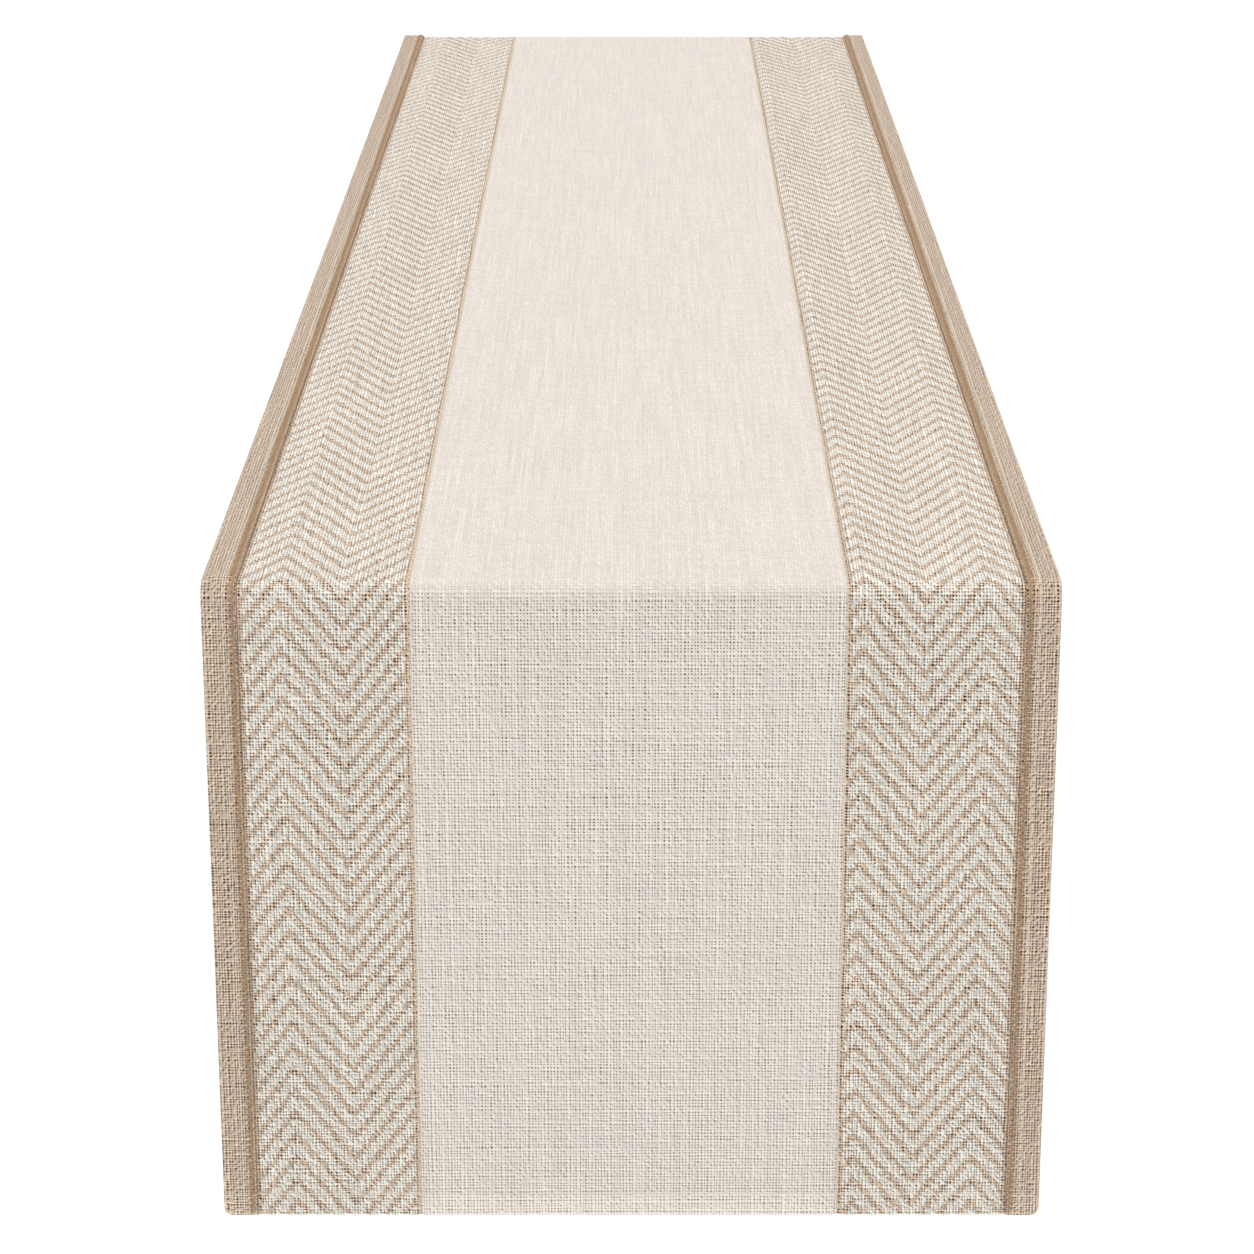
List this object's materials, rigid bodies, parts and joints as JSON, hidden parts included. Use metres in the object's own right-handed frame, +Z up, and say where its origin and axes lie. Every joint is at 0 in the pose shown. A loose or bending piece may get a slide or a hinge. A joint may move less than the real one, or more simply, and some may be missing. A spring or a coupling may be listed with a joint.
{
  "type": "table runner",
  "caption": "Long woven table runner with an ivory centre panel, herringbone bands and tan side borders, laid over a table with a drop hanging at each end.",
  "frame": {"origin": "centre of the underside of the stretch that lies on the table, level with the table top", "axes": "+Y along the runner, from the front drop to the rear drop; +X across it, to the right seen from the front; +Z up out of the table top"},
  "size_m": [0.3556, 1.2546, 0.2951],
  "materials": {
    "ivory_plain_weave": "matt coarse plain weave with slubs",
    "herringbone_weave": "matt herringbone weave, ivory and tan",
    "tan_plain_weave": "matt coarse plain weave",
    "sewing_thread": "matt spun thread"
  },
  "bodies": {
    "top": {"border_left_top": "tan_plain_weave", "border_right_top": "tan_plain_weave", "herringbone_band_left_top": "herringbone_weave", "centre_panel_top": "ivory_plain_weave", "herringbone_band_right_top": "herringbone_weave", "border_seam_thread_left_top": "sewing_thread", "centre_seam_thread_left_top": "sewing_thread", "centre_seam_thread_right_top": "sewing_thread", "border_seam_thread_right_top": "sewing_thread", "topstitch_left_top": "sewing_thread", "topstitch_right_top": "sewing_thread"},
    "front_drop": {"border_left_front_drop": "tan_plain_weave", "border_right_front_drop": "tan_plain_weave", "herringbone_band_left_front_drop": "herringbone_weave", "centre_panel_front_drop": "ivory_plain_weave", "herringbone_band_right_front_drop": "herringbone_weave", "border_seam_thread_left_front_drop": "sewing_thread", "centre_seam_thread_left_front_drop": "sewing_thread", "centre_seam_thread_right_front_drop": "sewing_thread", "border_seam_thread_right_front_drop": "sewing_thread", "topstitch_left_front_drop": "sewing_thread", "topstitch_right_front_drop": "sewing_thread", "hem_stitch_front_drop": "sewing_thread"},
    "rear_drop": {"border_left_rear_drop": "tan_plain_weave", "border_right_rear_drop": "tan_plain_weave", "herringbone_band_left_rear_drop": "herringbone_weave", "centre_panel_rear_drop": "ivory_plain_weave", "herringbone_band_right_rear_drop": "herringbone_weave", "border_seam_thread_left_rear_drop": "sewing_thread", "centre_seam_thread_left_rear_drop": "sewing_thread", "centre_seam_thread_right_rear_drop": "sewing_thread", "border_seam_thread_right_rear_drop": "sewing_thread", "topstitch_left_rear_drop": "sewing_thread", "topstitch_right_rear_drop": "sewing_thread", "hem_stitch_rear_drop": "sewing_thread"}
  },
  "joints": [
    {"name": "front_drop_lift", "type": "hinge", "parent": "top", "child": "front_drop", "pos_m": [0, -0.62413, -0.00006], "axis": [-1, 0, 0], "range_deg": [0, 90]},
    {"name": "rear_drop_lift", "type": "hinge", "parent": "top", "child": "rear_drop", "pos_m": [0, 0.62413, -0.00006], "axis": [1, 0, 0], "range_deg": [0, 90]}
  ]
}
